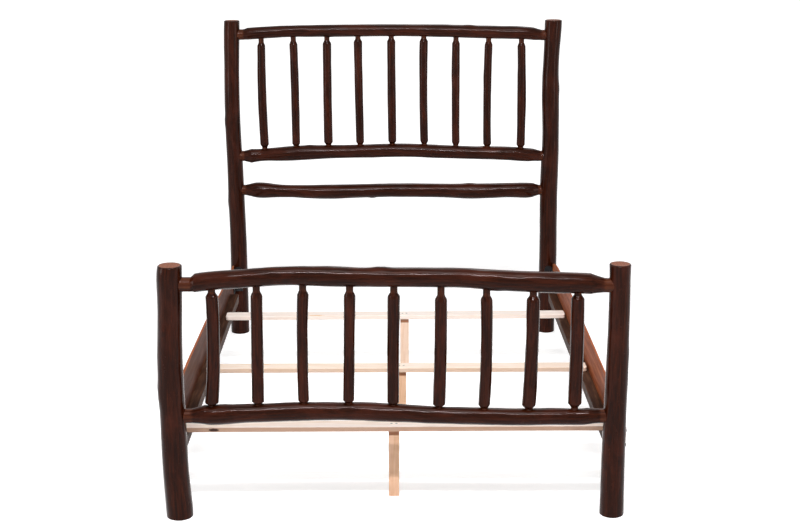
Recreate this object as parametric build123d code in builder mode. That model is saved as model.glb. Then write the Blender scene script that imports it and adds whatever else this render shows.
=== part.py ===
"""Rustic log bed, queen size: peeled-pole headboard and footboard, slab side rails, three loose slats.

Millimetres. X runs across the bed (left is -X seen from the foot), Y from the foot to the head, Z up.
The origin is on the floor in the middle of the four posts.
"""
import os
from math import radians, tan

from build123d import *

os.makedirs("parts", exist_ok=True)

# ---------------------------------------------------------------- driving dimensions
POST_X = 755  # half the distance between post centres, across the bed
POST_Y = 1060  # half the distance between the footboard and the headboard
HEAD_HEIGHT = 1528
FOOT_HEIGHT = 911
POST_RIM = 5  # rounding of a post's sawn top
FOOT_RIM = 1.5  # rounding of a post's foot

RAIL_TENON = 50  # round tenon on the log rails, two inches
TENON_REACH = 762  # how far from the middle a log rail's tenon ends, inside its post
SPINDLE_TENON = 25.4  # round tenon on the spindles, one inch
SPINDLE_DEPTH = 32  # how far a spindle's tenon goes into its rail
SHOULDER = 14  # length of the cone between a spindle's body and its tenon
SHOULDER_GAP = 2  # least distance from the cone's small end to the rail
SHOULDER_SHORT = 6  # the shortest such cone, where a spindle's body comes close to its rail
FIT = 0.1  # radial room for glue round a tenon, and round a screw

RAIL_FACE = 778  # inner face of a side rail, from the middle of the bed
RAIL_BACK = 816  # thickest point of the slab's round back
RAIL_BOTTOM = 217
RAIL_TOP = 410  # no slab is higher than this
RAIL_TOP_EDGE = 7  # thickness of the slab at its top edge
RAIL_BOTTOM_EDGE = 26
RAIL_SHOULDER = (800, 39)  # where the round back begins: from the middle of the bed, and below the top
RAIL_BARREL = ((812, 0.55), (RAIL_BACK, 0.35), (814, 0.17))  # round back, at shares of the slab's height
RAIL_ROUND = 3  # rounding of the slab's edges
RAIL_END = 1038  # end of the slab, coped round the post
COPE = 2.5  # room between the coped end and the post
RAIL_END_BACK = 799  # back of the slab at the post
BACK_TAPER = 108  # length over which the back is thinned

# Height of each side rail's top edge, at even distances from its foot end to its head end.
RAIL_TOPS = {
    -1: (347, 390, 406, 408, 403, 399, 394, 386, 376, 366, 358, 354, 347),
    1: (347, 370, 381, 385, 387, 388, 390, 392, 391, 388, 384, 377, 347),
}

CLEAT = 38  # ledge strip that carries the slats, square section
CLEAT_FOOT_END = -955
CLEAT_HEAD_END = 843
CLEAT_ROUND = 6
CLEAT_SCREWS = (-931, -496, -61, 374, 809)
CLEAT_SCREW_Z = 242
CLEAT_SCREW_LENGTH = 60

SLAT_LENGTH = 1524
SLAT_WIDTH = 64
SLAT_THICK = 19
SLAT_EASE = 2.5
SLAT_CORNER = 9
LEG = 38
LEG_EASE = 4  # rounding of a leg's long edges
LEG_TOP_EASE = 3
LEG_SCREW_GAP = 18
LEG_SCREW_LENGTH = 75
SCREW_HEAD_R = 4.5
SCREW_R = 2.4
SCREW_POINT = 8

STEEL = 4  # thickness of a corner bracket
BRACKET_BOTTOM = 219
BRACKET_TOP = 341
BRACKET_SEAT = 34  # from the post's centre line to the flat that is cut on it
POST_LEAF = 40
RAIL_LEAF = 68
LEAF_CORNER = 12
BOLT_Z = (236, 289)
BOLT_FROM_POST = 57
BOLT_SEAT = 806  # spot face for the bolt heads on the slab's back
BOLT_R = 4
BOLT_HEAD_R = 9
BOLT_HEAD_HIGH = 4.5
BOLT_LENGTH = 45
WASHER_R = 10
WASHER_THICK = 1.6
NUT_R = 7.5
NUT_THICK = 6.5
LAG_Z = (248, 312)
LAG_R = 3.5
LAG_LENGTH = 50
LAG_POINT = 9
LAG_HEAD_R = 6.5
LAG_HEAD_HIGH = 4.5

# Posts: side, end, then height, drift of the centre in X and in Y, and diameter, from the floor up.
POSTS = {
    "foot_left_post": (-1, -1, [
        (0, -5, 0, 93), (90, -9, -2, 92), (200, -13, -4, 90), (330, -14, -4, 89), (460, -16, -2, 88),
        (600, -16, 1, 87), (700, -12, 2, 84), (800, -8, 1, 84), (FOOT_HEIGHT, -3, 0, 82)]),
    "foot_right_post": (1, -1, [
        (0, 3, 0, 85), (110, 2, -2, 83), (250, 1, -3, 81), (400, 2, -2, 79), (560, 3, 1, 76),
        (700, 3, 3, 74), (800, 2, 2, 72), (FOOT_HEIGHT, 0, 0, 74)]),
    "head_left_post": (-1, 1, [
        (0, -5, 0, 89), (80, -5, 1, 88), (180, -3, 1, 84), (330, -2, 2, 82), (510, -2, 3, 79), (630, -4, 4, 80),
        (810, -6, 3, 77), (1040, -10, 0, 74), (1270, -8, -2, 72), (1390, -5, -1, 74),
        (HEAD_HEIGHT, 0, 0, 73)]),
    "head_right_post": (1, 1, [
        (0, 0, 0, 86), (150, 2, 2, 86), (330, 3, 3, 86), (500, 1, 4, 85), (690, -2, 3, 86),
        (900, 0, 1, 83), (1090, -3, 2, 82), (1210, -7, 1, 82), (1330, -7, 0, 76), (1400, -5, -1, 76),
        (HEAD_HEIGHT, -1, 0, 80)]),
}

# Log rails: end, bow towards the head, where the left and right tenons start (X and height),
# then distance across the bed, height and diameter, from left to right.
RAILS = {
    "head_top_rail": (1, 4, (-704, 1462), (701, 1457), [
        (-684, 1466, 56), (-546, 1474, 56), (-396, 1478, 56), (-246, 1479, 58), (54, 1480, 57),
        (204, 1478, 58), (355, 1474, 61), (505, 1470, 61), (630, 1466, 60), (664, 1463, 59)]),
    "head_spindle_rail": (1, -3, (-716, 884), (711, 880), [
        (-680, 884, 68), (-560, 892, 66), (-407, 900, 70), (-253, 904, 65), (-100, 907, 66),
        (54, 910, 66), (208, 904, 65), (438, 896, 63), (592, 890, 67), (672, 885, 63)]),
    "head_lower_rail": (1, 3, (-716, 717), (704, 713), [
        (-684, 717, 65), (-565, 713, 66), (-410, 707, 65), (-333, 706, 69), (-178, 709, 67),
        (-23, 713, 67), (131, 712, 68), (286, 709, 70), (363, 707, 74), (518, 711, 72),
        (596, 712, 73), (676, 713, 69)]),
    "foot_top_rail": (-1, -4, (-691, 844), (706, 836), [
        (-677, 849, 63), (-625, 856, 64), (-553, 861, 64), (-451, 869, 65), (-370, 874, 65), (-290, 873, 67),
        (-213, 871, 69), (-129, 868, 66), (-43, 867, 66), (42, 867, 66), (133, 866, 67),
        (224, 864, 68), (325, 857, 70), (432, 851, 71), (544, 847, 72),
        (600, 845, 72), (656, 842, 71)]),
    "foot_bottom_rail": (-1, 3, (-708, 372), (708, 366), [
        (-662, 377, 66), (-598, 376, 70), (-519, 380, 66), (-433, 383, 65), (-329, 386, 65),
        (-226, 387, 63), (-133, 386, 64), (-37, 381, 63), (42, 377, 62), (187, 369, 60),
        (284, 366, 60), (388, 363, 59), (491, 363, 58), (595, 363, 58), (662, 365, 59)]),
}

# Spindles, left to right: X at the bottom, X at the top, bow to the right, diameter low, middle and
# high, and the heights between which the log has its full thickness.
HEAD_SPINDLES = [
    (-616, -620, -4, (42, 42, 38), (940, 1411)), (-465, -469, 1.5, (39, 39, 39), (944, 1418)),
    (-310, -311, -1, (43, 41, 42), (951, 1420)), (-158, -165, -1, (39, 40, 41), (951, 1427)),
    (-4, -8, -1, (40, 41, 39), (955, 1429)), (149, 145, -3, (39, 39, 40), (955, 1429)),
    (300, 297, -1, (38, 39, 38), (949, 1419)), (451, 451, -3, (39, 38, 39), (940, 1414)),
    (612, 606, 3, (41, 42, 40), (935, 1407))]
FOOT_SPINDLES = [
    (-634, -621, 6, (47, 44, 43), (421, 802)), (-475, -470, 0, (42, 42, 41), (424, 805)),
    (-318, -314, -3, (38, 38, 39), (427, 809)), (-163, -156, 0, (39, 38, 39), (427, 805)),
    (-10, -7, -1, (41, 41, 42), (419, 801)), (148, 152, 2, (44, 43, 42), (411, 790)),
    (304, 306, 4, (41, 40, 41), (408, 789)), (458, 464, 3, (48, 45, 45), (407, 787)),
    (616, 615, 2, (47, 47, 46), (413, 790))]
SPINDLE_SETS = [
    ("head_spindle", HEAD_SPINDLES, "head_spindle_rail", "head_top_rail"),
    ("foot_spindle", FOOT_SPINDLES, "foot_bottom_rail", "foot_top_rail")]

# Slats: distance from the middle of the bed, shift across, skew in degrees and X of the leg.
SLATS = {
    "front": (-888, 0, 0, -7),
    "middle": (-255, 7, 0, 26),
    "rear": (461, 7, 0.5, 47),
}
SLAT_BOTTOM = RAIL_BOTTOM + CLEAT


# ---------------------------------------------------------------- shared geometry
def between(stations, where, column):
    """One column of a log's stations at a distance along it, read straight between neighbours."""
    for low, high in zip(stations, stations[1:]):
        if low[0] <= where <= high[0]:
            share = (where - low[0]) / (high[0] - low[0])
            return low[column] + share * (high[column] - low[column])
    raise ValueError("outside the log")


def post_at(side, end, height):
    """Drift in X and Y and diameter of a corner's post at a height."""
    stations = next(post[2] for post in POSTS.values() if post[:2] == (side, end))
    return [between(stations, height, column) for column in (1, 2, 3)]


def rail_y(name, x):
    """Centre of a log rail front to back: in line with the posts, and bowed in the middle."""
    end, bow = RAILS[name][:2]
    return end * POST_Y + bow * (1 - (x / POST_X) ** 2)


def rail_surface(name, x, upward):
    """Height of a log rail's top (upward 1) or underside (upward -1)."""
    stations = RAILS[name][4]
    return between(stations, x, 1) + upward * between(stations, x, 2) / 2


def screw_outline(head_r, shank_r, length, point):
    """Half outline of a countersunk screw, as distances along the screw and out from its axis."""
    sink = (head_r - shank_r) / tan(radians(41))
    return [(0, 0), (0, head_r), (sink, shank_r), (length - point, shank_r), (length, 0)]


def bolt_planes(across, heights):
    """A plane at each bolt of the four corners, with its normal pointing away from the bed."""
    return [
        Plane(origin=(side * across, end * (POST_Y - BOLT_FROM_POST), height), z_dir=(side, 0, 0))
        for end in (-1, 1)
        for side in (-1, 1)
        for height in heights
    ]


def lag_planes():
    """A plane at each lag screw on the post leaves, with its normal pointing into the bed."""
    return [
        Plane(
            origin=(side * (RAIL_FACE - POST_LEAF / 2), end * (POST_Y - BRACKET_SEAT - STEEL), height),
            z_dir=(0, -end, 0),
        )
        for end in (-1, 1)
        for side in (-1, 1)
        for height in LAG_Z
    ]


def cleat_planes(side):
    """A plane at each screw of one cleat, with its normal pointing into the bed."""
    return [
        Plane(origin=(side * (RAIL_FACE - CLEAT), y, CLEAT_SCREW_Z), z_dir=(-side, 0, 0))
        for y in CLEAT_SCREWS
    ]


def leg_planes(slat):
    """A plane at each of the two screws that hold a leg, on top of its slat."""
    y, _, _, leg_x = SLATS[slat]
    return [
        Plane(origin=(leg_x + shift, y, SLAT_BOTTOM + SLAT_THICK), z_dir=(0, 0, 1))
        for shift in (-LEG_SCREW_GAP / 2, LEG_SCREW_GAP / 2)
    ]


def save(builder, label):
    builder.part.label = label
    export_step(builder.part, f"parts/{label}.step")


# ---------------------------------------------------------------- logs
def make_post(name):
    side, end, stations = POSTS[name]
    leaf_middle = side * (RAIL_FACE - POST_LEAF / 2)
    with BuildPart() as post:
        for height, drift_x, drift_y, diameter in stations:
            with BuildSketch(Plane.XY.offset(height)):
                with Locations((side * POST_X + drift_x, end * POST_Y + drift_y)):
                    Circle(diameter / 2)
        loft()
        fillet(post.faces().sort_by(Axis.Z)[-1].edges(), POST_RIM)
        fillet(post.faces().sort_by(Axis.Z)[0].edges(), FOOT_RIM)
        # Round mortises for the log rails of this end.
        for rail, (rail_end, _, left_tenon, right_tenon, _) in RAILS.items():
            if rail_end == end:
                x, height = left_tenon if side < 0 else right_tenon
                with BuildSketch(Plane.YZ.offset(side * TENON_REACH)):
                    with Locations((rail_y(rail, x), height)):
                        Circle(RAIL_TENON / 2 + FIT)
                extrude(amount=-side * 2 * RAIL_TENON, mode=Mode.SUBTRACT)
        # Flat seat with a round top for the corner bracket, on the side that faces the bed.
        with BuildSketch(Plane.XZ.offset(-end * (POST_Y - BRACKET_SEAT))):
            with Locations((leaf_middle, BRACKET_TOP - POST_LEAF / 2)):
                Circle(POST_LEAF / 2 + 1)
                Rectangle(POST_LEAF + 2, BRACKET_TOP - BRACKET_BOTTOM, align=(Align.CENTER, Align.MAX))
        extrude(amount=end * POST_LEAF, mode=Mode.SUBTRACT)
        for plane in lag_planes():
            if plane.origin.X * side > 0 and plane.origin.Y * end > 0:
                with Locations(plane):
                    Hole(LAG_R + FIT, depth=LAG_LENGTH + FIT)
    save(post, name)


def make_log_rail(name, spindles, spindles_above):
    end, _, left_tenon, right_tenon, stations = RAILS[name]
    with BuildPart() as rail:
        for x, height, diameter in stations:
            with BuildSketch(Plane.YZ.offset(x)):
                with Locations((rail_y(name, x), height)):
                    Circle(diameter / 2)
        loft()
        # A cut cone and a round tenon at each end.
        for shoulder, (tenon_x, tenon_z) in ((stations[0], left_tenon), (stations[-1], right_tenon)):
            x, height, diameter = shoulder
            with BuildSketch(Plane.YZ.offset(x)):
                with Locations((rail_y(name, x), height)):
                    Circle(diameter / 2)
            with BuildSketch(Plane.YZ.offset(tenon_x)):
                with Locations((rail_y(name, tenon_x), tenon_z)):
                    Circle(RAIL_TENON / 2)
            loft(ruled=True)
            with BuildSketch(Plane.YZ.offset(tenon_x)):
                with Locations((rail_y(name, tenon_x), tenon_z)):
                    Circle(RAIL_TENON / 2)
            extrude(amount=(TENON_REACH - abs(tenon_x)) * (1 if tenon_x > 0 else -1))
        # Round mortises for the spindles.
        upward = 1 if spindles_above else -1
        for bottom_x, top_x, *_ in spindles:
            x = bottom_x if spindles_above else top_x
            surface = rail_surface(name, x, upward)
            with BuildSketch(Plane.XY.offset(surface - upward * SPINDLE_DEPTH)):
                with Locations((x, rail_y(name, x))):
                    Circle(SPINDLE_TENON / 2 + FIT)
            extrude(amount=upward * 2 * SPINDLE_DEPTH, mode=Mode.SUBTRACT)
    save(rail, name)


def make_spindle(name, spindle, lower_rail, upper_rail):
    bottom_x, top_x, bow, diameters, (low_body, high_body) = spindle
    bottom_y = rail_y(lower_rail, bottom_x)
    top_y = rail_y(upper_rail, top_x)
    crown = rail_surface(lower_rail, bottom_x, 1)
    underside = rail_surface(upper_rail, top_x, -1)
    low_body = max(low_body, crown + SHOULDER_GAP + SHOULDER_SHORT)
    low = max(low_body - SHOULDER, crown + SHOULDER_GAP)
    high = min(high_body + SHOULDER, underside - SHOULDER_GAP)
    with BuildPart() as spindle_log:
        for share, diameter in ((0, diameters[0]), (0.25, (diameters[0] + diameters[1]) / 2),
                                (0.5, diameters[1]), (0.75, (diameters[1] + diameters[2]) / 2),
                                (1, diameters[2])):
            with BuildSketch(Plane.XY.offset(low_body + share * (high_body - low_body))):
                with Locations((bottom_x + share * (top_x - bottom_x) + 4 * bow * share * (1 - share),
                                bottom_y + share * (top_y - bottom_y))):
                    Circle(diameter / 2)
        loft()
        for x, y, body, neck, tip, diameter in (
                (bottom_x, bottom_y, low_body, low, crown - SPINDLE_DEPTH + FIT, diameters[0]),
                (top_x, top_y, high_body, high, underside + SPINDLE_DEPTH - FIT, diameters[2])):
            with BuildSketch(Plane.XY.offset(body)):
                with Locations((x, y)):
                    Circle(diameter / 2)
            with BuildSketch(Plane.XY.offset(neck)):
                with Locations((x, y)):
                    Circle(SPINDLE_TENON / 2)
            loft(ruled=True)
            with BuildSketch(Plane.XY.offset(neck)):
                with Locations((x, y)):
                    Circle(SPINDLE_TENON / 2)
            extrude(amount=tip - neck)
    save(spindle_log, name)


# ---------------------------------------------------------------- side rails
def make_slab(tops):
    """A side rail before it is fitted, on the right: flat inside, round outside, thinned at both ends."""
    spacing = 2 * RAIL_END / (len(tops) - 1)
    with BuildPart() as slab:
        for number, top in enumerate(tops):
            barrel = [(x, RAIL_BOTTOM + share * (top - RAIL_BOTTOM)) for x, share in RAIL_BARREL]
            with BuildSketch(Plane.XZ.offset(RAIL_END - number * spacing)) as section:
                with BuildLine():
                    Polyline((RAIL_FACE + RAIL_BOTTOM_EDGE, RAIL_BOTTOM), (RAIL_FACE, RAIL_BOTTOM),
                             (RAIL_FACE, top), (RAIL_FACE + RAIL_TOP_EDGE, top))
                    Spline((RAIL_FACE + RAIL_TOP_EDGE, top), (RAIL_SHOULDER[0], top - RAIL_SHOULDER[1]),
                           *barrel, (RAIL_FACE + RAIL_BOTTOM_EDGE, RAIL_BOTTOM))
                make_face()
                fillet(section.vertices(), RAIL_ROUND)
        loft()
        for end in (-1, 1):
            start = end * (RAIL_END - BACK_TAPER)
            stop = end * RAIL_END
            with BuildSketch(Plane.XY.offset(RAIL_BOTTOM)):
                with BuildLine():
                    TangentArc((RAIL_BACK, start), (RAIL_END_BACK, stop), tangent=(0, end))
                    Polyline((RAIL_END_BACK, stop), (RAIL_BACK + 1, stop), (RAIL_BACK + 1, start),
                             (RAIL_BACK, start))
                make_face()
            extrude(amount=RAIL_TOP - RAIL_BOTTOM, mode=Mode.SUBTRACT)
    return slab.part


def make_side_rail(name, side, slab):
    with BuildPart() as rail:
        add(slab)
        for end in (-1, 1):
            # Each end is hollowed to sit against the round of its post.
            drift_x, drift_y, diameter = post_at(side, end, (RAIL_BOTTOM + RAIL_TOP) / 2)
            with BuildSketch(Plane.XY.offset(RAIL_BOTTOM)):
                with Locations((side * POST_X + drift_x, end * POST_Y + drift_y)):
                    Circle(diameter / 2 + COPE)
            extrude(amount=RAIL_TOP - RAIL_BOTTOM, mode=Mode.SUBTRACT)
        for plane in bolt_planes(BOLT_SEAT, BOLT_Z):
            if plane.origin.X * side > 0:
                with BuildSketch(plane):
                    Circle(BOLT_HEAD_R + 1)
                extrude(amount=BOLT_HEAD_R, mode=Mode.SUBTRACT)
                with Locations(plane):
                    Hole(BOLT_R + FIT, depth=BOLT_SEAT - RAIL_FACE + 1)
        for plane in cleat_planes(side):
            with Locations(plane):
                Hole(SCREW_R + FIT, depth=CLEAT_SCREW_LENGTH + FIT)
    save(rail, name)


def make_cleat(name, side):
    with BuildPart() as cleat:
        with BuildSketch(Plane.XY.offset(RAIL_BOTTOM)):
            with Locations((side * (RAIL_FACE - CLEAT / 2), (CLEAT_FOOT_END + CLEAT_HEAD_END) / 2)):
                Rectangle(CLEAT, CLEAT_HEAD_END - CLEAT_FOOT_END)
        extrude(amount=CLEAT)
        inner_face = cleat.faces().filter_by(Axis.X).sort_by(Axis.X)[0 if side > 0 else -1]
        fillet(inner_face.edges().filter_by(Axis.Z), CLEAT_ROUND)
        for plane in cleat_planes(side):
            with Locations(plane):
                CounterSinkHole(SCREW_R + FIT, SCREW_HEAD_R + FIT, depth=CLEAT_SCREW_LENGTH)
    save(cleat, name)


def make_bracket(name, side, end):
    """Bent steel angle: one leaf with a round top on the post, the other on the rail's inner face."""
    flat = end * (POST_Y - BRACKET_SEAT)
    leaf_middle = side * (RAIL_FACE - POST_LEAF / 2)
    shoulder = BRACKET_TOP - POST_LEAF / 2
    with BuildPart() as bracket:
        with BuildSketch(Plane.XZ.offset(-flat)):
            with Locations((leaf_middle, shoulder)):
                Circle(POST_LEAF / 2)
                Rectangle(POST_LEAF, shoulder - BRACKET_BOTTOM, align=(Align.CENTER, Align.MAX))
        extrude(amount=end * STEEL)
        with BuildSketch(Plane.YZ.offset(side * RAIL_FACE)):
            with Locations((flat - end * RAIL_LEAF / 2, (BRACKET_BOTTOM + shoulder) / 2)):
                Rectangle(RAIL_LEAF, shoulder - BRACKET_BOTTOM)
        extrude(amount=-side * STEEL)
        free_edge = bracket.edges().filter_by(Axis.X).sort_by(Axis.Y)
        fillet(free_edge[:2] if end > 0 else free_edge[-2:], LEAF_CORNER)
        for plane in bolt_planes(BOLT_SEAT, BOLT_Z) + lag_planes():
            if plane.origin.X * side > 0 and plane.origin.Y * end > 0:
                radius = BOLT_R if abs(plane.z_dir.X) > 0.5 else LAG_R
                with Locations(plane):
                    Hole(radius + FIT, depth=BOLT_LENGTH)
    save(bracket, name)


# ---------------------------------------------------------------- slats and their legs
def make_slat(name, slat):
    y, shift, skew, _ = SLATS[slat]
    with BuildPart() as board:
        with BuildSketch(Plane.XY.offset(SLAT_BOTTOM)):
            with Locations(Location((shift, y, 0), (0, 0, skew))):
                RectangleRounded(SLAT_LENGTH, SLAT_WIDTH, SLAT_CORNER)
        extrude(amount=SLAT_THICK)
        fillet(board.faces().sort_by(Axis.Z)[-1].edges(), SLAT_EASE)
        fillet(board.faces().sort_by(Axis.Z)[0].edges(), SLAT_EASE)
        for plane in leg_planes(slat):
            with Locations(plane):
                CounterSinkHole(SCREW_R + FIT, SCREW_HEAD_R + FIT, depth=LEG_SCREW_LENGTH)
    save(board, name)


def make_leg(name, slat):
    y, _, _, leg_x = SLATS[slat]
    with BuildPart() as leg:
        with BuildSketch():
            with Locations((leg_x, y)):
                RectangleRounded(LEG, LEG, LEG_EASE)
        extrude(amount=SLAT_BOTTOM)
        fillet(leg.faces().sort_by(Axis.Z)[-1].edges(), LEG_TOP_EASE)
        for plane in leg_planes(slat):
            with Locations(plane):
                Hole(SCREW_R + FIT, depth=LEG_SCREW_LENGTH + FIT)
    save(leg, name)


# ---------------------------------------------------------------- fasteners
def make_screws(name, planes, outline):
    """Turned fasteners of one kind, each with its head's face on its plane and its point below it."""
    with BuildPart() as screws:
        for plane in planes:
            along = Plane(origin=plane.origin, x_dir=-plane.z_dir, z_dir=plane.x_dir)
            with BuildSketch(along):
                with BuildLine():
                    Polyline(*outline, close=True)
                make_face()
            revolve(axis=Axis(along.origin, along.x_dir))
    save(screws, name)


def make_carriage_bolts(name):
    with BuildPart() as bolts:
        for plane in bolt_planes(BOLT_SEAT, BOLT_Z):
            along = Plane(origin=plane.origin, x_dir=plane.z_dir, z_dir=plane.x_dir)
            with BuildSketch(along):
                with BuildLine():
                    Polyline((BOLT_HEAD_HIGH, 0), (-BOLT_LENGTH, 0), (-BOLT_LENGTH, BOLT_R), (0, BOLT_R),
                             (0, BOLT_HEAD_R), (0.5, BOLT_HEAD_R))
                    TangentArc((BOLT_HEAD_HIGH, 0), (0.5, BOLT_HEAD_R), tangent=(0, 1))
                make_face()
            revolve(axis=Axis(along.origin, along.x_dir))
    save(bolts, name)


def make_rings(name, planes, radius, thickness, sides=0):
    """Washers, or nuts when a number of sides is given, resting on their planes."""
    with BuildPart() as rings:
        for plane in planes:
            with BuildSketch(plane):
                if sides:
                    RegularPolygon(radius, sides)
                else:
                    Circle(radius)
                Circle(BOLT_R + FIT, mode=Mode.SUBTRACT)
            extrude(amount=-thickness)
    save(rings, name)


def make_lag_screws(name):
    with BuildPart() as lags:
        for plane in lag_planes():
            with BuildSketch(plane):
                RegularPolygon(LAG_HEAD_R, 6)
            extrude(amount=LAG_HEAD_HIGH)
            with BuildSketch(plane):
                Circle(LAG_R)
            extrude(amount=-(LAG_LENGTH - LAG_POINT))
            with BuildSketch(plane.offset(-(LAG_LENGTH - LAG_POINT))):
                Circle(LAG_R)
            extrude(amount=-LAG_POINT, taper=19)
    save(lags, name)


# ---------------------------------------------------------------- the bed
for name in POSTS:
    make_post(name)

make_log_rail("head_lower_rail", [], True)
for stem, spindles, lower_rail, upper_rail in SPINDLE_SETS:
    make_log_rail(lower_rail, spindles, True)
    make_log_rail(upper_rail, spindles, False)
    for number, spindle in enumerate(spindles, 1):
        make_spindle(f"{stem}_{number}", spindle, lower_rail, upper_rail)

slabs = {1: make_slab(RAIL_TOPS[1]), -1: mirror(make_slab(RAIL_TOPS[-1]), about=Plane.YZ)}
for side, word in ((-1, "left"), (1, "right")):
    make_side_rail(f"side_rail_{word}", side, slabs[side])
    make_cleat(f"cleat_{word}", side)
    make_bracket(f"bracket_foot_{word}", side, -1)
    make_bracket(f"bracket_head_{word}", side, 1)

wood_screw = (SCREW_HEAD_R, SCREW_R)
make_screws("cleat_screws", cleat_planes(-1) + cleat_planes(1),
            screw_outline(*wood_screw, CLEAT_SCREW_LENGTH, SCREW_POINT))
make_carriage_bolts("carriage_bolts")
make_rings("bolt_washers", bolt_planes(RAIL_FACE - STEEL, BOLT_Z), WASHER_R, WASHER_THICK)
make_rings("bolt_nuts", bolt_planes(RAIL_FACE - STEEL - WASHER_THICK, BOLT_Z), NUT_R, NUT_THICK, sides=6)
make_lag_screws("bracket_lag_screws")

for slat in SLATS:
    make_slat(f"slat_{slat}", slat)
    make_leg(f"slat_leg_{slat}", slat)
    make_screws(f"leg_screws_{slat}", leg_planes(slat),
                screw_outline(*wood_screw, LEG_SCREW_LENGTH, SCREW_POINT))
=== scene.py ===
"""Looks of the rustic log bed: peeled logs, slab rails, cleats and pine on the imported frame. Metres."""
from math import cos, hypot, pi, radians, sin

import bmesh
import bpy
import numpy as np
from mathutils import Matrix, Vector, noise
from mathutils.bvhtree import BVHTree


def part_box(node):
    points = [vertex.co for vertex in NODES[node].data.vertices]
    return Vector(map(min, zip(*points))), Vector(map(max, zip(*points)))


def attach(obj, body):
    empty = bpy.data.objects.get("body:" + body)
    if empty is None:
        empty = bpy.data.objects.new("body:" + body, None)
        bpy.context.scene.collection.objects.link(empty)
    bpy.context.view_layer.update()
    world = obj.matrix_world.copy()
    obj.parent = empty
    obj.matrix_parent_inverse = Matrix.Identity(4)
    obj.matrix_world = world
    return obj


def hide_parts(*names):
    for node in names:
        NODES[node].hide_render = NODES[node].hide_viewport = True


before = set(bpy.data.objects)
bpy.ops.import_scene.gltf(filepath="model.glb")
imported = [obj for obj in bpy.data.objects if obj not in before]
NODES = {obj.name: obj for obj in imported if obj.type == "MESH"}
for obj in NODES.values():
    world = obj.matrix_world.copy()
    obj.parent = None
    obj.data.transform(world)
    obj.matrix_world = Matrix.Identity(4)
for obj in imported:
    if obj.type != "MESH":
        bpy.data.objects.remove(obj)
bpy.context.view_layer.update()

ROOT = "bed_frame"
ENDS = ("head", "foot")
SIDES = ("left", "right")
SLATS = ("front", "middle", "rear")
LOG_RAILS = ("head_top_rail", "head_spindle_rail", "head_lower_rail", "foot_top_rail", "foot_bottom_rail")
POSTS = ("foot_left_post", "foot_right_post", "head_left_post", "head_right_post")
SPINDLES = tuple(f"{end}_spindle_{n}" for end in ENDS for n in range(1, 10))
X, Y, Z = 0, 1, 2

# ---------------------------------------------------------------- sizes of the logs' skins
AROUND = {"post": 44, "rail": 40, "spindle": 30}  # points round a log
STEP = {"post": 0.009, "rail": 0.008, "spindle": 0.0065}  # distance between rings
END_ZONE = {"post": 0.02, "rail": 0.12, "spindle": 0.062}  # stretch at each end with closer rings
END_STEP = 0.0023  # distance between rings there
RIM_PLACES = (0.0002, 0.0007, 0.0015, 0.0026, 0.0040)  # rings over the rounded rim of a sawn end
RIM_INSET, CORE_INSET = 0.90, 0.5  # sizes of the rings of points inside an end, as shares of its rim
SEED_STEP = 0.37  # sets the logs' waves apart by the letters of their names
SHARP_EDGE = 48  # degrees from which an edge is shaded as one

# How a section of the solid is found.
RAYS = 36
FIT_PASSES = 4
FIT_SHARE = 0.62  # share of the points that the circle goes through
FIT_PLAY = 2e-4  # points this close to the circle always count

# Waves of the peeled surface: height, then for each layer the changes round, those per metre and the share.
RELIEF = {"post": 0.0013, "rail": 0.0019, "spindle": 0.0017}
SWELL = (0.9, 5.5, 0.6)
RIPPLE = (1.6, 17, 0.35)
FLATS = (2.6, 9, 0.5)
FLATS_SHIFT = 40  # keeps the flats' noise apart from the swells'
RELIEF_LIFT = 0.12  # lifts the waves back to the solid's surface

# Shoulders, where "cut" runs from 0 on the log's body to 1 on its tenon.
BODY_STRETCH = 0.05  # stretch beyond the end zone that gives the body's radius
CUT_MARGIN = 0.02  # how far past the end zone a cut may reach
PEELED_FADE = (0.2, 0.8)  # the waves fade out over this much of the cut
FACETS = 9  # knife cuts round a shoulder
FACET_DEPTH = 0.022  # of the radius
FACET_GROW = (0.04, 0.4)  # the facets grow over this much of the cut
TENON_PLAY = 0.0006  # a ring this much wider than the tenon is still on the cone
BARE = {"post": (2, 3), "rail": (0.75, 1.05), "spindle": (0.7, 1.2)}  # the stain ends here, on a post never

# Knots: place along the log, angle round it (0 is +Y on rails and +X on posts), height and size.
KNOTS = {
    "foot_top_rail": [(-0.05, 80, 0.0045, 0.020), (-0.37, 200, 0.0025, 0.022), (0.33, 250, 0.0030, 0.018)],
    "foot_bottom_rail": [(-0.60, 70, 0.0025, 0.016), (0.10, 200, 0.0030, 0.015)],
    "head_top_rail": [(0.36, 90, 0.0028, 0.016), (-0.30, 250, 0.0025, 0.014)],
    "head_spindle_rail": [(-0.40, 95, 0.0030, 0.016), (0.44, 80, 0.0030, 0.014)],
    "head_lower_rail": [(-0.20, 200, 0.0045, 0.012), (-0.10, 262, 0.0042, 0.011), (0.37, 90, 0.0035, 0.018)],
    "foot_left_post": [(0.46, 190, 0.0035, 0.030), (0.68, 250, 0.0030, 0.018)],
    "foot_right_post": [(0.60, 20, 0.0028, 0.022), (0.30, 240, 0.0030, 0.018)],
    "head_left_post": [(0.66, 170, 0.0028, 0.020), (1.05, 190, 0.0025, 0.018)],
    "head_right_post": [(1.21, 0, 0.0030, 0.022), (0.88, 200, 0.0025, 0.018)],
}
KNOT_STRETCH = 0.6  # below 1, knots are longer along the grain
KNOT_REACH = 9  # squared distance, in sizes of the knot, past which it has no effect
DIMPLE = 0.35  # depth of the hollow in a knot's middle, of its height
DIMPLE_FALL = 9
KNOT_DARK_FALL = 3

# Play between a post's skin and the bracket let into it: beside the bracket and above it.
SEAT_SIDE, SEAT_ABOVE = 0.002, 0.003

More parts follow.
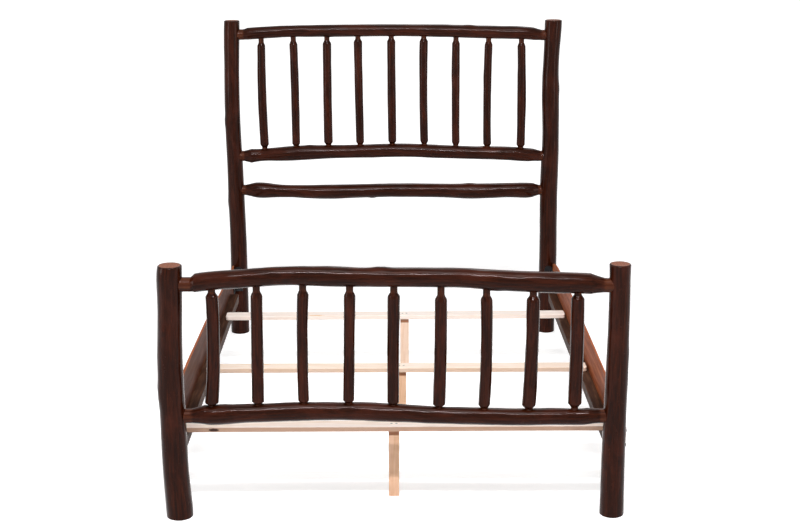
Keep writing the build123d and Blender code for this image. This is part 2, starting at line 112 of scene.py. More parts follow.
# ---------------------------------------------------------------- sizes of the slab rails' skins
RAIL_FACE = 0.778  # X of the sanded face
COPE_START = 1.018  # Y from which an end is coped round its post
COPE_X = 0.7985  # X at which a coped end is probed
COPE_SHARE = 0.25  # share of the probes' depths that is used there
BOLT_HOLES = [(side * 1.003, z) for side in (-1, 1) for z in (0.236, 0.289)]  # Y and Z
BOLT_SEAT = 0.806  # X of the flat under a bolt's head
HOLE_REACH = 0.0062  # the skin keeps to that flat this close to a bolt's axis
SEAT_REACH = 0.013  # and has no relief this close to it
HOLE_DEPTH = 0.003  # deeper than this behind the face is a hole
FACE_SHARES = (0.05, 0.95)  # where on the face's height a hole may be
INSIDE_X, OUTSIDE_X = 0.70, 0.90  # the probes of a section start here
SIDE_PROBE = 0.2
EDGE_DEPTHS = (0.001, 0.004, 0.008)  # depths behind the face at which the edges are probed
EDGE_INSET = 0.0003
SLAB_ROWS = 26  # rows up each side
SLAB_AROUND = 2 * SLAB_ROWS + 2
SLAB_STEP = 0.008
SLAB_END_ZONE = 0.05
SLAB_SEED = {"right": 3.1, "left": 8.7}
BACK_START, BACK_FULL = RAIL_FACE + 0.006, RAIL_FACE + 0.018  # X over which a slab's face turns into its back
BACK_RELIEF = 0.0024
RIM_WAVE = 0.0016
RIM_WIDTH = 0.012  # worn rims along the top and bottom
WAVE_SEED, WAVE_ANGLE = 5, 0.8  # place of the rims' waves in the relief's noise
WAVE_END = 1.0  # Y past which the rims are straight
CUT_START, CUT_FULL = 0.90, 1.00  # Y over which the taper bares the wood
CUT_DEPTH = 0.05  # height of the taper's cut below the top edge
CUT_LOW = 0.35  # how bare the wood below it is
BACK_GRAIN = 1.7  # the back's grain is this much finer


# ---------------------------------------------------------------- meshes
class Skin:
    """Points and faces of a piece, with the tone and grain that its material reads at each point."""

    def __init__(self):
        self.verts, self.faces, self.tone, self.grain = [], [], [], []

    def add(self, point, tone, grain):
        self.verts.append(point)
        self.tone.append(tone)
        self.grain.append(grain)

    def join_rings(self, around):
        """Quads between neighbouring rings of points, as far as the points go."""
        for start in range(0, len(self.verts) - around, around):
            for k in range(around):
                n = (k + 1) % around
                self.faces.append((start + k, start + n, start + around + n, start + around + k))

    def piece(self, name, replaced, finish):
        """A piece of the frame in place of a node of the part."""
        mesh = bpy.data.meshes.new(name)
        mesh.from_pydata(self.verts, [], self.faces)
        mesh.validate()
        for label, rows in (("tone", self.tone), ("grain", self.grain)):
            layer = mesh.attributes.new(label, "FLOAT_VECTOR", "POINT")
            layer.data.foreach_set("vector", np.array(rows, np.float32).ravel())
        work = bmesh.new()
        work.from_mesh(mesh)
        bmesh.ops.recalc_face_normals(work, faces=work.faces)
        work.to_mesh(mesh)
        work.free()
        mesh.shade_smooth()
        mesh.set_sharp_from_angle(angle=radians(SHARP_EDGE))
        mesh.materials.append(finish)
        piece = bpy.data.objects.new(name, mesh)
        bpy.context.scene.collection.objects.link(piece)
        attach(piece, ROOT)
        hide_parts(replaced)
        return piece


def bvh_of(node):
    """Search tree of a node's own mesh."""
    mesh = NODES[node].data
    return BVHTree.FromPolygons([v.co for v in mesh.vertices], [p.vertices for p in mesh.polygons])


def linear(value, low, high):
    """0 below low, 1 above high, and a straight line between them."""
    return min(1, max(0, (value - low) / (high - low)))


def smooth(value, low, high):
    """0 below low, 1 above high, and an even step between them."""
    share = linear(value, low, high)
    return share * share * (3 - 2 * share)


def relief(seed, along, angle, height):
    """Uneven surface of a peeled log: long swells, shorter ripples and flats left by the drawknife."""
    x, y = cos(angle), sin(angle)
    turns, waves, swells = SWELL
    swell = noise.noise(Vector((x * turns, y * turns, along * waves + seed)))
    turns, waves, ripples = RIPPLE
    ripple = noise.noise(Vector((x * turns + seed, y * turns, along * waves)))
    turns, waves, flats = FLATS
    flat = abs(noise.noise(Vector((x * turns, y * turns + seed, along * waves + FLATS_SHIFT))))
    return height * (swells * swell + ripples * ripple - flats * flat + RELIEF_LIFT)


# ---------------------------------------------------------------- logs
def other_axes(axis):
    return [i for i in range(3) if i != axis]


def fit_circle(points):
    """Centre and radius of the circle through most of the points; those over a hole or a flat are dropped."""
    kept = points
    for _ in range(FIT_PASSES):
        system = np.column_stack([kept, np.ones(len(kept))])
        a, b, c = np.linalg.lstsq(system, (kept ** 2).sum(axis=1), rcond=None)[0]
        centre = np.array([a / 2, b / 2])
        radius = np.sqrt(c + centre @ centre)
        error = np.abs(np.hypot(*(points - centre).T) - radius)
        kept = points[error <= max(np.quantile(error, FIT_SHARE), FIT_PLAY)]
    return centre, radius


def ring_places(low, high, kind):
    """Places along a log: close together at both ends, wider apart between them."""
    rim = RIM_PLACES if kind == "post" else RIM_PLACES[:1]
    start, stop = low + rim[-1], high - rim[-1]
    near = [start + END_STEP * i for i in range(1, int(END_ZONE[kind] / END_STEP))]
    far = [stop - (p - start) for p in reversed(near)]
    count = max(2, round((far[0] - near[-1]) / STEP[kind]))
    middle = [near[-1] + (far[0] - near[-1]) * i / count for i in range(1, count)]
    first = [low + r for r in rim]
    last = [high - r for r in reversed(rim)]
    return first + near + middle + far + last


def log_rings(node, axis, kind):
    """The solid's own centre line and radius: a circle fitted to it at each ring."""
    tree = bvh_of(node)
    low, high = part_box(node)
    a, b = other_axes(axis)
    middle = np.array([(low[a] + high[a]) / 2, (low[b] + high[b]) / 2])
    reach = max(high[a] - low[a], high[b] - low[b])
    rings = []
    for place in ring_places(low[axis], high[axis], kind):
        points = []
        for k in range(RAYS):
            angle = 2 * pi * k / RAYS
            start, aim = Vector((0, 0, 0)), Vector((0, 0, 0))
            start[axis] = place
            start[a] = middle[0] + reach * cos(angle)
            start[b] = middle[1] + reach * sin(angle)
            aim[a], aim[b] = -cos(angle), -sin(angle)
            hit = tree.ray_cast(start, aim, reach)[0]
            if hit is not None:
                points.append([hit[a], hit[b]])
        if len(points) > RAYS // 2:
            middle, radius = fit_circle(np.array(points))
            rings.append((place, middle[0], middle[1], radius))
    return rings


def cuts(rings, kind):
    """How far each ring is on a cut shoulder or tenon: 0 on the log's body, 1 on the cut wood."""
    places = np.array([r[0] for r in rings])
    radii = np.array([r[3] for r in rings])
    cut = np.zeros(len(rings))
    if kind == "post":
        return cut
    zone = END_ZONE[kind]
    for out in (places - places[0], places[-1] - places):
        body = np.median(radii[(out > zone) & (out < zone + BODY_STRETCH)])
        tenon = radii[np.argmin(out)]
        share = np.clip((body - radii) / (body - tenon), 0, 1)
        share[out > zone + CUT_MARGIN] = 0
        cut = np.maximum(cut, share)
    return cut


def knot_here(node, place, angle, radius):
    """Height of the knots at a point of a log, and how much of the point is knot."""
    height = share = 0.0
    for where, side, high, wide in KNOTS.get(node, ()):
        turn = (angle - radians(side) + pi) % (2 * pi) - pi
        away = ((place - where) ** 2 * KNOT_STRETCH + (turn * radius) ** 2) / wide ** 2
        if away < KNOT_REACH:
            height += high * (np.exp(-away) - DIMPLE * np.exp(-away * DIMPLE_FALL))
            share = max(share, float(np.exp(-away * KNOT_DARK_FALL)))
    return height, share


def log_surface(skin, node, axis, kind, rings, seed):
    """Rings of points on the solid's centre line, with relief, knots and knife-cut shoulders."""
    a, b = other_axes(axis)
    around = AROUND[kind]
    tenon = rings[0][3]
    for (place, middle_a, middle_b, radius), cut in zip(rings, cuts(rings, kind)):
        on_cone = cut > FACET_GROW[0] and radius > tenon + TENON_PLAY
        for k in range(around):
            angle = 2 * pi * k / around
            height, knot = knot_here(node, place, angle, radius)
            grow = (relief(seed, place, angle, RELIEF[kind]) + height) * (1 - smooth(cut, *PEELED_FADE))
            if on_cone:
                facet = (angle * FACETS / (2 * pi) + seed) % 1 - 0.5
                grow -= FACET_DEPTH * radius * (1 - 4 * facet ** 2) * smooth(cut, *FACET_GROW)
            point = [0.0, 0.0, 0.0]
            point[axis] = place
            point[a] = middle_a + (radius + grow) * cos(angle)
            point[b] = middle_b + (radius + grow) * sin(angle)
            skin.add(point, (smooth(cut, *BARE[kind]), knot, 0),
                     (radius * cos(angle) + seed, radius * sin(angle), place + seed))


def seat_bracket(node, verts):
    """Cut the bracket's flat into a post: no bark stands proud of the bracket's back behind its leaf."""
    end, side = node.split("_")[:2]
    low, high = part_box(f"bracket_{end}_{side}")
    for point in verts:
        beside = low.x - SEAT_SIDE < point[X] < high.x + SEAT_SIDE
        if beside and low.z - SEAT_SIDE < point[Z] < high.z + SEAT_ABOVE:
            point[Y] = max(point[Y], high.y) if end == "head" else min(point[Y], low.y)


def close_log(skin, first, place, kind, seed):
    """Close the ring that starts at a point: a sawn face on a post, bare wood on a tenon."""
    around = AROUND[kind]
    tone = (0, 0, 1) if kind == "post" else (1, 0, 0)
    rim = outer = range(first, first + around)
    centre = np.mean([skin.verts[i] for i in rim], axis=0)
    for share in (RIM_INSET, CORE_INSET) if kind == "post" else (CORE_INSET,):
        inner = range(len(skin.verts), len(skin.verts) + around)
        for i in rim:
            grain = np.array(skin.grain[i]) * (share, share, 1) + (seed * (1 - share), 0, 0)
            skin.add(list(centre + (np.array(skin.verts[i]) - centre) * share), tone, tuple(grain))
        for k in range(around):
            n = (k + 1) % around
            skin.faces.append((outer[k], outer[n], inner[n], inner[k]))
        outer = inner
    skin.add(list(centre), tone, (seed, 0, place + seed))
    for k in range(around):
        skin.faces.append((outer[k], outer[(k + 1) % around], len(skin.verts) - 1))


def log_piece(node, axis, kind, finish):
    """The skin of a log: a tube of rings, closed at both ends."""
    rings = log_rings(node, axis, kind)
    seed = sum(map(ord, node)) * SEED_STEP
    skin = Skin()
    log_surface(skin, node, axis, kind, rings, seed)
    if kind == "post":
        seat_bracket(node, skin.verts)
    skin.join_rings(AROUND[kind])
    last = len(skin.verts) - AROUND[kind]
    for first, ring in ((0, rings[0]), (last, rings[-1])):
        close_log(skin, first, ring[0], kind, seed)
    return skin.piece(node + "_log", node, finish)


# ---------------------------------------------------------------- slab rails
def slab_places(low, high):
    """Places along a slab: close together at both ends, wider apart between them."""
    places = [low + e for e in RIM_PLACES]
    while places[-1] < high - RIM_PLACES[-1]:
        near_end = min(places[-1] - low, high - places[-1]) < SLAB_END_ZONE
        places.append(places[-1] + (END_STEP if near_end else SLAB_STEP))
    return [p for p in places if p < high - RIM_PLACES[-1]] + [high - e for e in reversed(RIM_PLACES)]


def near_bolt(place, z, reach):
    return any(hypot(place - y, z - h) < reach for y, h in BOLT_HOLES)


def slab_edges(tree, out, place):
    """Heights of a slab's bottom and top edges at a place along it, or None where it has ended."""
    heights = []
    for depth in EDGE_DEPTHS:
        x = out * (RAIL_FACE + depth if abs(place) < COPE_START else COPE_X - depth * COPE_SHARE)
        up = tree.ray_cast(Vector((x, place, 0)), Vector((0, 0, 1)), 1)[0]
        down = tree.ray_cast(Vector((x, place, 1)), Vector((0, 0, -1)), 1)[0]
        if up is not None and down is not None:
            heights.append((up.z, down.z))
    if not heights:
        return None
    return min(h[0] for h in heights) + EDGE_INSET, max(h[1] for h in heights) - EDGE_INSET


def slab_section(tree, out, place, bottom, top):
    """Points up a slab's face and down its back: X without its sign, Z, on the face, share of the height."""
    section = []
    for j in range(SLAB_AROUND):
        on_face = j <= SLAB_ROWS
        row = j if on_face else SLAB_AROUND - 1 - j
        share = (1 - cos(pi * row / SLAB_ROWS)) / 2
        z = bottom + share * (top - bottom)
        start = Vector((out * (INSIDE_X if on_face else OUTSIDE_X), place, z))
        hit = tree.ray_cast(start, Vector((out if on_face else -out, 0, 0)), SIDE_PROBE)[0]
        x = None if hit is None else abs(hit.x)
        deep = x is not None and x > RAIL_FACE + HOLE_DEPTH
        holed = x is None or (deep and FACE_SHARES[0] < share < FACE_SHARES[1])
        if on_face and abs(place) < COPE_START and holed:
            x = RAIL_FACE
        if not on_face and near_bolt(place, z, HOLE_REACH):
            x = BOLT_SEAT
        if x is None:
            x = section[-1][0] if section else RAIL_FACE + EDGE_DEPTHS[1]
        section.append((x, z, on_face, share))
    return section


def slab_piece(side, finish):
    """A slab rail: flat sanded face inside, round debarked back, thin worn rims and cut ends."""
    node = f"side_rail_{side}"
    tree = bvh_of(node)
    low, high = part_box(node)
    out = 1 if side == "right" else -1
    seed = SLAB_SEED[side]
    skin = Skin()
    for place in slab_places(low.y, high.y):
        edges = slab_edges(tree, out, place)
        if edges is None:
            continue
        bottom, top = edges
        for x, z, on_face, share in slab_section(tree, out, place, bottom, top):
            back = 0 if on_face else linear(x, BACK_START, BACK_FULL)
            grow = wave = 0
            if not on_face and not near_bolt(place, z, SEAT_REACH):
                grow = back * relief(seed, place, pi * share, BACK_RELIEF)
            if abs(place) <= WAVE_END:
                wave = relief(seed + WAVE_SEED, place, WAVE_ANGLE, RIM_WAVE) * (share - 0.5) * 2
            rim = max(0, 1 - min(z - bottom, top - z) / RIM_WIDTH)
            cut = linear(abs(place), CUT_START, CUT_FULL) * (1 if top - z < CUT_DEPTH else CUT_LOW)
            skin.add([out * (x + grow), place, z + wave * rim], (back, rim, cut),
                     (x * (1 if on_face else BACK_GRAIN) + seed, z, place + seed))
    skin.join_rings(SLAB_AROUND)
    for first in (0, len(skin.verts) - SLAB_AROUND):
        for k in range(SLAB_ROWS):
            far = first + SLAB_AROUND - 1 - k
            skin.faces.append((first + k, first + k + 1, far - 1, far))
    return skin.piece(node + "_slab", node, finish)


# ---------------------------------------------------------------- node trees
def colour(code):
    """Linear colour of a hex code."""
    parts = [int(code[i:i + 2], 16) / 255 for i in (1, 3, 5)]
    return tuple(p / 12.92 if p <= 0.04045 else ((p + 0.055) / 1.055) ** 2.4 for p in parts) + (1.0,)


class Tree:
    """A node tree with short calls for what the finishes and the stage are made of."""

    def __init__(self, tree):
        self.tree = tree

    def node(self, kind, props=(), inputs=()):
        made = self.tree.nodes.new("ShaderNode" + kind)
        for key, value in dict(props).items():
            setattr(made, key, value)
        for key, value in dict(inputs).items():
            self.put(made.inputs[key], value)
        return made

    def put(self, socket, value):
        """Link a socket or set its value."""
        if isinstance(value, bpy.types.NodeSocket):
            self.tree.links.new(value, socket)
        else:
            socket.default_value = value

    def place(self):
        return self.node("TexCoord").outputs["Object"]

    def scaled(self, vector, x, y, z):
        made = self.node("VectorMath", {"operation": "MULTIPLY"}, {0: vector, 1: (x, y, z)})
        return made.outputs["Vector"]

    def stretched(self, vector, share, axis=Z):
        """Texture place that changes more slowly along one axis."""
        return self.scaled(vector, *(share if i == axis else 1 for i in range(3)))

    def length(self, vector):
        return self.node("VectorMath", {"operation": "LENGTH"}, {0: vector}).outputs["Value"]

    def split(self, vector):
        return self.node("SeparateXYZ", (), {0: vector}).outputs

    def math(self, how, first, second):
        return self.node("Math", {"operation": how}, {0: first, 1: second}).outputs[0]

    def times(self, first, second):
        return self.math("MULTIPLY", first, second)

    def rise(self, value, low, high, start=0.0, stop=1.0):
        """Even rise from start to stop between two values."""
        made = self.node("MapRange", (), {"Value": value, 1: low, 2: high, 3: start, 4: stop})
        return made.outputs["Result"]

    def noise(self, vector, scale, detail=4.0, rough=0.55, twist=0.0):
        made = self.node("TexNoise", (), {"Vector": vector, "Scale": scale, "Detail": detail,
                                          "Roughness": rough, "Distortion": twist})
        return made.outputs["Fac"]

    def ramp(self, factor, *stops):
        """Colours, or greys where a stop is a number, by the factor."""
        made = self.node("ValToRGB", (), {"Fac": factor})
        ends = made.color_ramp.elements
        while len(ends) < len(stops):
            ends.new(0.5)
        for element, (place, value) in zip(ends, stops):
            element.position = place
            element.color = colour(value) if isinstance(value, str) else (value, value, value, 1)
        return made.outputs["Color"]

    def mask(self, factor, low, high, strength):
        """0 where the factor is below low, and the strength where it is above high."""
        return self.times(self.ramp(factor, (low, 0.0), (high, 1.0)), strength)

    def mix(self, factor, first, second):
        made = self.node("Mix", {"data_type": "RGBA"})
        for socket, value in ((made.inputs[0], factor), (made.inputs[6], first), (made.inputs[7], second)):
            self.put(socket, colour(value) if isinstance(value, str) else value)
        return made.outputs[2]


class Finish(Tree):
    """A material's tree, with its shader."""

    def __init__(self, name):
        self.material = bpy.data.materials.new(name)
        self.material.use_nodes = True
        super().__init__(self.material.node_tree)
        self.shader = self.tree.nodes["Principled BSDF"]

    def attribute(self, name):
        return self.node("Attribute", {"attribute_name": name}).outputs["Vector"]

    def set(self, **values):
        for key, value in values.items():
            self.put(self.shader.inputs[key.replace("_", " ")], value)

    def bump(self, *layers):
        """Bump from (height, distance) layers, one on the other."""
        normal = None
        for height, distance in layers:
            made = self.node("Bump", (), {"Height": height, "Distance": distance})
            if normal is not None:
                self.put(made.inputs["Normal"], normal)
            normal = made.outputs["Normal"]
        self.set(Normal=normal)


# ---------------------------------------------------------------- materials
def dark_log():
    """Stained, varnished peeled log: near-black brown, reddish in streaks, bared on tenons and sawn ends."""
    f = Finish("dark_log")
    grain = f.attribute("grain")
    bare, knot, sawn = f.split(f.attribute("tone"))
    streak = f.noise(f.stretched(grain, 0.06), 130, 6, 0.62, 0.4)
    patch = f.noise(f.stretched(grain, 0.32), 17, 5, 0.6, 0.6)
    fleck = f.noise(f.stretched(grain, 0.45), 240, 3, 0.5)
    wood = f.ramp(streak, (0.32, "#180602"), (0.48, "#240b03"), (0.60, "#301105"), (0.76, "#401b0b"))
    wood = f.mix(f.mask(patch, 0.47, 0.68, 0.55), wood, "#461d10")
    wood = f.mix(f.mask(fleck, 0.62, 0.76, 0.22), wood, "#5f3020")
    wood = f.mix(f.mask(knot, 0.35, 0.75, 0.55), wood, "#170b08")
    tenon = f.ramp(streak, (0.30, "#2e150c"), (0.50, "#482314"), (0.70, "#5f351f"))
    wood = f.mix(f.times(bare, 0.9), wood, tenon)
    across = f.length(f.stretched(grain, 0))
    rings = f.node("TexNoise", {"noise_dimensions": "1D"}, {"W": across, "Scale": 420.0, "Detail": 3.0})
    end = f.ramp(rings.outputs["Fac"], (0.36, "#5f3a2b"), (0.52, "#80503c"), (0.66, "#936450"))
    end = f.mix(f.times(f.noise(grain, 60, 3), 0.5), end, "#6a4231")
    gloss = f.mix(sawn, f.noise(grain, 34, 4), (0.9, 0.9, 0.9, 1))  # a sawn end takes the last, matt stop
    f.set(Base_Color=f.mix(sawn, wood, end), Specular_IOR_Level=0.105, Specular_Tint=(1.0, 0.84, 0.80, 1.0),
          Roughness=f.ramp(gloss, (0.30, 0.10), (0.62, 0.17), (0.9, 0.62)))
    f.bump((f.noise(f.stretched(grain, 0.35), 26, 2), 0.0016), (streak, 0.00010), (fleck, 0.00006))
    return f.material


def rail_board(name, dark, middle, light, pale, dark_patches):
    """Slab rail: sanded reddish board face, orange worn rims, dark round back and orange cut ends."""
    f = Finish(name)
    grain = f.attribute("grain")
    back, rim, cut = f.split(f.attribute("tone"))
    lines = f.noise(f.stretched(grain, 0.035), 95, 6, 0.6, 0.8)
    cloud = f.noise(f.stretched(grain, 0.22), 13, 4, 0.6, 0.5)
    fleck = f.noise(f.stretched(grain, 0.10), 260, 3)
    face = f.ramp(lines, (0.30, dark), (0.48, middle), (0.62, light), (0.78, pale))
    # Darker cloudy patches of the face; their extra strength on the left rail is painted shade.
    face = f.mix(f.mask(cloud, 0.44, 0.66, dark_patches), face, "#44231a")
    face = f.mix(f.mask(fleck, 0.62, 0.76, 0.25), face, "#3c2017")
    worn = f.math("ADD", rim, f.times(f.noise(grain, 24, 4), 0.5))
    face = f.mix(f.mask(worn, 0.72, 1.0, 0.85), face, f.ramp(lines, (0.35, "#8a4526"), (0.65, "#b5683f")))
    bark = f.ramp(lines, (0.30, "#24130d"), (0.50, "#341c14"), (0.72, "#4d2a1d"))
    bark = f.mix(f.mask(cloud, 0.45, 0.68, 0.6), bark, "#5a2e1e")
    wood = f.mix(f.ramp(back, (0.10, 0.0), (0.55, 1.0)), face, bark)
    wood = f.mix(f.times(cut, 0.8), wood, f.ramp(lines, (0.3, "#8a4a2c"), (0.7, "#b8714a")))
    f.set(Base_Color=wood, Specular_IOR_Level=0.06, Roughness=f.ramp(cloud, (0.30, 0.46), (0.7, 0.60)))
    f.bump((f.times(f.noise(f.stretched(grain, 0.3), 50, 4), back), 0.0020), (lines, 0.0003))
    return f.material


def board(name, axis, dark, middle, light, specular=0.3, slat_shadow=None, side=None, knots=(), dark_patches=None):
    """Planed or sawn timber: long grain lines and growth bands, and what else its piece asks for."""
    f = Finish(name)
    place = f.place()
    lines = f.noise(f.stretched(place, 0.04, axis), 210, 5, 0.6, 0.3)
    bands = f.noise(f.stretched(place, 0.10, axis), 42, 3, 0.5, 1.2)
    figure = f.math("ADD", f.times(lines, 0.45), f.times(bands, 0.55))
    wood = f.ramp(figure, (0.36, dark), (0.50, middle), (0.64, light))
    pores = f.noise(f.stretched(place, 0.04, axis), 620, 2)
    wood = f.mix(f.mask(pores, 0.62, 0.78, 0.25), wood, dark)
    height = f.split(place)[Z]
    # Painted light on a leg's top: the slat's shadow as a dark band, with a painted highlight line below it.
    if slat_shadow:
        wood = painted_slat_shadow(f, height, wood, light, slat_shadow)
    # Painted shade: a slat's sides are darker than its top, as light falls from above.
    if side:
        shade, strength = side
        wood = f.mix(f.ramp(f.rise(height, *SLAT_TOP), (0.0, strength), (1.0, 0.0)), wood, shade)
    for centre, size, shade in knots:
        wood = board_knot(f, place, wood, centre, size, shade)
    if dark_patches:
        spots = f.noise(f.stretched(place, 0.10, axis), 20, 5, 0.65, 0.5)
        wood = f.mix(f.mask(spots, 0.45, 0.68, 0.7), wood, dark_patches)
    f.set(Base_Color=wood, Specular_IOR_Level=specular, Roughness=f.ramp(lines, (0.3, 0.45), (0.7, 0.6)))
    f.bump((lines, 0.0004), (bands, 0.0003))
    return f.material


def painted_slat_shadow(f, height, wood, pale, shade):
    """The top of a leg, where its slat shades it: a painted highlight line and above it a band of painted
    shadow.
    """
    rise = f.rise(height, *LEG_SHADOW_HEIGHTS)
    wood = f.mix(f.ramp(rise, *zip(HIGHLIGHT_LINE_STOPS, (0.0, 0.8, 0.0))), wood, pale)
    return f.mix(f.ramp(rise, *zip(SHADOW_BAND_STOPS, (0.0, 1.0, 0.8, 0.2))), wood, shade)


def board_knot(f, place, wood, centre, size, shade):
    """A knot with a ragged edge round a centre."""
    shift = f.node("VectorMath", {"operation": "SUBTRACT"}, {0: place, 1: centre}).outputs["Vector"]
    away = f.length(f.scaled(shift, *(1 / s for s in size)))
    away = f.math("ADD", away, f.times(f.noise(place, 160, 3), 0.5))
    return f.mix(f.ramp(away, (0.75, 1.0), (1.0, 0.0)), wood, shade)


def metal(name, dark, light, metallic, rough, scale):
    """Painted, blackened or plated steel with a fine uneven finish."""
    f = Finish(name)
    place = f.place()
    grit = f.noise(place, scale, 3)
    wear = f.noise(place, scale / 9, 4)
    f.set(Base_Color=f.mix(f.ramp(wear, (0.42, 0.0), (0.64, 1.0)), dark, light), Metallic=metallic,
          Specular_IOR_Level=0.3, Roughness=f.ramp(wear, (0.3, rough[0]), (0.7, rough[1])))
    f.bump((grit, 0.0001))
    return f.material


def dress(nodes, finish):
    """Put a finish on nodes whose own shape is right."""
    for node in nodes:
        slots = NODES[node].data.materials
        slots.clear()
        slots.append(finish)


# ---------------------------------------------------------------- the bed's pieces
# Slab rails: grain from dark to pale, and the strength of the face's dark patches. The rails differ by
# painted light:
# the left face's darker grain and stronger patches are painted shade, the right face's paler grain painted
# light.
RAIL_LOOKS_LIT_AND_SHADED = {
    "left": ("#3a1b0d", "#4f2815", "#61361e", "#74462b", 0.8),
    "right": ("#693014", "#8a4624", "#a55a33", "#b86d45", 0.3),
}
CLEAT_GRAIN = ("#2b1911", "#40291d", "#5f4231")

# Slats: grain from dark to light, colour and strength of the painted shade on their sawn sides (strongest on
# the front slat, in the foot rail's shadow), knots as centre, size and colour.
PINE = {
    "front": ("#f3dfca", "#fbeadb", "#fdf2e7"),
    "middle": ("#e6cfb7", "#eedcc9", "#f2e5d6"),
    "rear": ("#f3e2d2", "#faede1", "#fcf2e8"),
}
PINE_SIDE_SHADE = {"front": ("#b58764", 0.80), "middle": ("#c99d78", 0.50), "rear": ("#e0bd9f", 0.15)}
PINE_KNOTS = {
    "front": [((-0.65, -0.92, 0.264), (0.030, 0.03, 0.009), "#3c2417")],
    "middle": [((-0.52, -0.24, 0.274), (0.030, 0.006, 0.02), "#e2bd92")],
    "rear": [((-0.35, 0.432, 0.270), (0.060, 0.008, 0.02), "#e0b27c")],
}
SLAT_TOP = (0.2712, 0.2734)  # heights over which the painted shade on a slat's sides gives way to its planed top

# Legs: grain from dark to light, heights between which the slat's painted shadow on a leg's top lies, and the
# places on that stretch where its painted highlight line and its painted shadow band start, peak and fade.
LEG_PINE = {
    "front": ("#dcab87", "#eabd99", "#f2caaa"),
    "middle": ("#d3a480", "#e0b591", "#e9c2a1"),
    "rear": ("#e3c0a2", "#eccdb3", "#f1d8c3"),
}
# Colour of the painted shadow that a slat casts on the top of its leg.
LEG_SHADOW_PAINT = "#9a6240"
LEG_SHADOW_HEIGHTS = (0.222, 0.255)
HIGHLIGHT_LINE_STOPS = (0.20, 0.28, 0.36)
SHADOW_BAND_STOPS = (0.36, 0.50, 0.80, 0.99)


def dress_logs():
    finish = dark_log()
    for post in POSTS:
        log_piece(post, Z, "post", finish)
    for rail in LOG_RAILS:
        log_piece(rail, X, "rail", finish)
    for spindle in SPINDLES:
        log_piece(spindle, Z, "spindle", finish)


def dress_slabs():
    for side in SIDES:
        slab_piece(side, rail_board(f"rail_board_{side}", *RAIL_LOOKS_LIT_AND_SHADED[side]))


def dress_boards():
    dress([f"cleat_{side}" for side in SIDES],
          board("cleat_wood", Y, *CLEAT_GRAIN, specular=0.04, dark_patches="#24140e"))
    for slat in SLATS:
        dress([f"slat_{slat}"],
              board(f"pine_{slat}", X, *PINE[slat], side=PINE_SIDE_SHADE[slat], knots=PINE_KNOTS[slat]))
        dress([f"slat_leg_{slat}"], board(f"pine_leg_{slat}", Z, *LEG_PINE[slat], slat_shadow=LEG_SHADOW_PAINT))


def dress_steel():
    dress([f"bracket_{end}_{side}" for end in ENDS for side in SIDES],
          metal("black_steel", "#111112", "#1e1e20", 0.0, (0.38, 0.55), 900))
    dress(["cleat_screws", "carriage_bolts", "bolt_washers", "bolt_nuts", "bracket_lag_screws"],
          metal("dark_fasteners", "#151414", "#2b2725", 0.6, (0.35, 0.5), 1400))
    dress([f"leg_screws_{slat}" for slat in SLATS],
          metal("zinc_screws", "#9a968c", "#b9b5aa", 0.9, (0.28, 0.4), 1400))


# ---------------------------------------------------------------- stage, light and camera
WHITE = (1, 1, 1, 1)
WORLD_TINT = (1.0, 0.985, 0.97, 1)
WORLD_LEVEL = 0.29
FLOOR_SIZE = 30
FLOOR_DROP = 0.0005
FLOOR_GREY = (0.8, 0.8, 0.8, 1)
GLOW_NEAR, GLOW_FAR = 2.5, 6.0  # distances from the bed over which the floor's own white rises
GLOW, FULL_GLOW = 0.58, 1.0  # its strength before and after
MIDDLE = (0, -0.3, 0.6)  # what the lamps above point at
SIDE_MIDDLE = (0, -0.2, 0.75)
BACK_MIDDLE = (0, 0.3, 0.6)
SENSOR, LENS = 36, 63.545  # millimetres
CAMERA_REACH = 200
CAMERA_PLACE = (-0.0247, -5.63495, 2.1399)
CAMERA_TURN = (radians(74.918), radians(0.067), -0.00878)


def seen_white(t):
    """1 for rays from the camera, off shiny surfaces and through glass, and 0 for the light on the bed."""
    path = t.node("LightPath").outputs
    seen = t.math("MAXIMUM", path["Is Camera Ray"], path["Is Glossy Ray"])
    return t.math("MAXIMUM", seen, path["Is Transmission Ray"])


def make_world():
    """Soft even light, and white wherever it is seen."""
    world = bpy.data.worlds.new("studio")
    bpy.context.scene.world = world
    world.use_nodes = True
    world.node_tree.nodes.clear()
    t = Tree(world.node_tree)
    soft = t.node("Background", (), {"Color": WORLD_TINT, "Strength": WORLD_LEVEL})
    white = t.node("Background", (), {"Color": WHITE, "Strength": 1.0})
    mix = t.node("MixShader", (), {0: seen_white(t), 1: soft.outputs[0], 2: white.outputs[0]})
    t.node("OutputWorld", (), {"Surface": mix.outputs[0]})


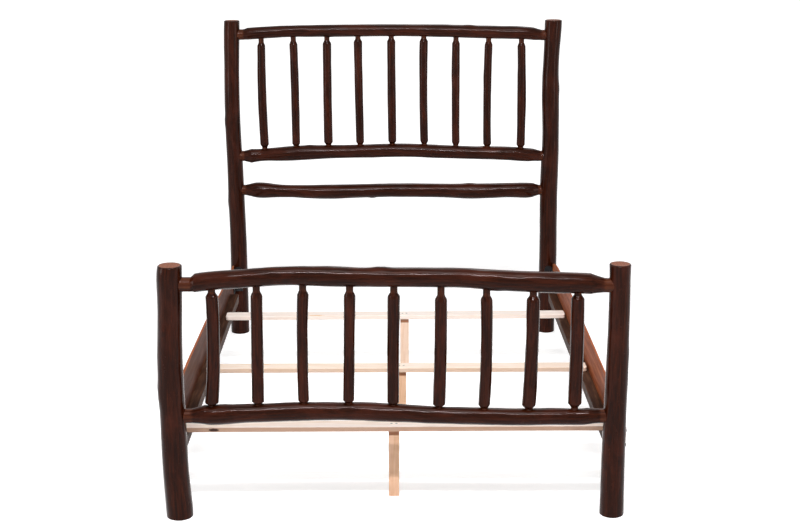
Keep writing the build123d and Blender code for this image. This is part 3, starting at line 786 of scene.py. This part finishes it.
def make_floor():
    """Matt floor that takes the bed's shadow and adds white of its own wherever it is seen."""
    s = FLOOR_SIZE
    mesh = bpy.data.meshes.new("floor")
    mesh.from_pydata([(-s, -s, 0), (s, -s, 0), (s, s, 0), (-s, s, 0)], [], [(0, 1, 2, 3)])
    floor = bpy.data.objects.new("floor", mesh)
    floor.location.z = -FLOOR_DROP
    bpy.context.scene.collection.objects.link(floor)
    paint = bpy.data.materials.new("floor")
    paint.use_nodes = True
    paint.node_tree.nodes.clear()
    t = Tree(paint.node_tree)
    rise = t.rise(t.length(t.place()), GLOW_NEAR, GLOW_FAR, GLOW, FULL_GLOW)
    matt = t.node("BsdfDiffuse", (), {"Color": FLOOR_GREY})
    glow = t.node("Emission", (), {"Strength": t.times(seen_white(t), rise)})
    both = t.node("AddShader", (), {0: matt.outputs[0], 1: glow.outputs[0]})
    t.node("OutputMaterial", (), {"Surface": both.outputs[0]})
    mesh.materials.append(paint)


def make_lamp(name, radiance, size, azimuth, elevation, distance, aim, tint=(1, 1, 1)):
    """Softbox whose surface has that radiance. Azimuth 0 is in front of the bed, 90 on its right."""
    width, height = size
    lamp = bpy.data.lights.new(name, "AREA")
    lamp.shape = "RECTANGLE"
    lamp.size, lamp.size_y = width, height
    lamp.energy = radiance * pi * width * height
    lamp.color = tint
    turn, rise = radians(azimuth), radians(elevation)
    away = Vector((sin(turn) * cos(rise), -cos(turn) * cos(rise), sin(rise)))
    holder = bpy.data.objects.new(name, lamp)
    holder.location = Vector(aim) + away * distance
    holder.rotation_mode = "QUATERNION"
    holder.rotation_quaternion = away.to_track_quat("Z", "Y")
    bpy.context.scene.collection.objects.link(holder)


def make_lamps():
    """A softbox and a narrow strip above the foot of the bed, one at each side and one behind."""
    make_lamp("key", 6.0, (2.6, 1.6), 0, 69, 5.0, MIDDLE, tint=(1.0, 0.98, 0.96))
    make_lamp("strip", 300, (2.6, 0.080), 0, 49, 4.9, MIDDLE, tint=(0.94, 0.93, 1.0))
    make_lamp("left", 6, (0.9, 2.4), -66, 12, 4.4, SIDE_MIDDLE)
    make_lamp("right", 4, (0.9, 2.4), 66, 12, 4.4, SIDE_MIDDLE)
    make_lamp("back", 3, (2.4, 1.2), 165, 48, 5.0, BACK_MIDDLE)


def make_camera():
    camera = bpy.data.cameras.new("camera")
    camera.sensor_width = SENSOR
    camera.lens = LENS
    camera.clip_end = CAMERA_REACH
    holder = bpy.data.objects.new("camera", camera)
    holder.location = CAMERA_PLACE
    holder.rotation_euler = CAMERA_TURN
    bpy.context.scene.collection.objects.link(holder)
    bpy.context.scene.camera = holder


dress_logs()
dress_slabs()
dress_boards()
dress_steel()
make_world()
make_floor()
make_lamps()
make_camera()
bpy.context.scene.view_settings.view_transform = "Standard"
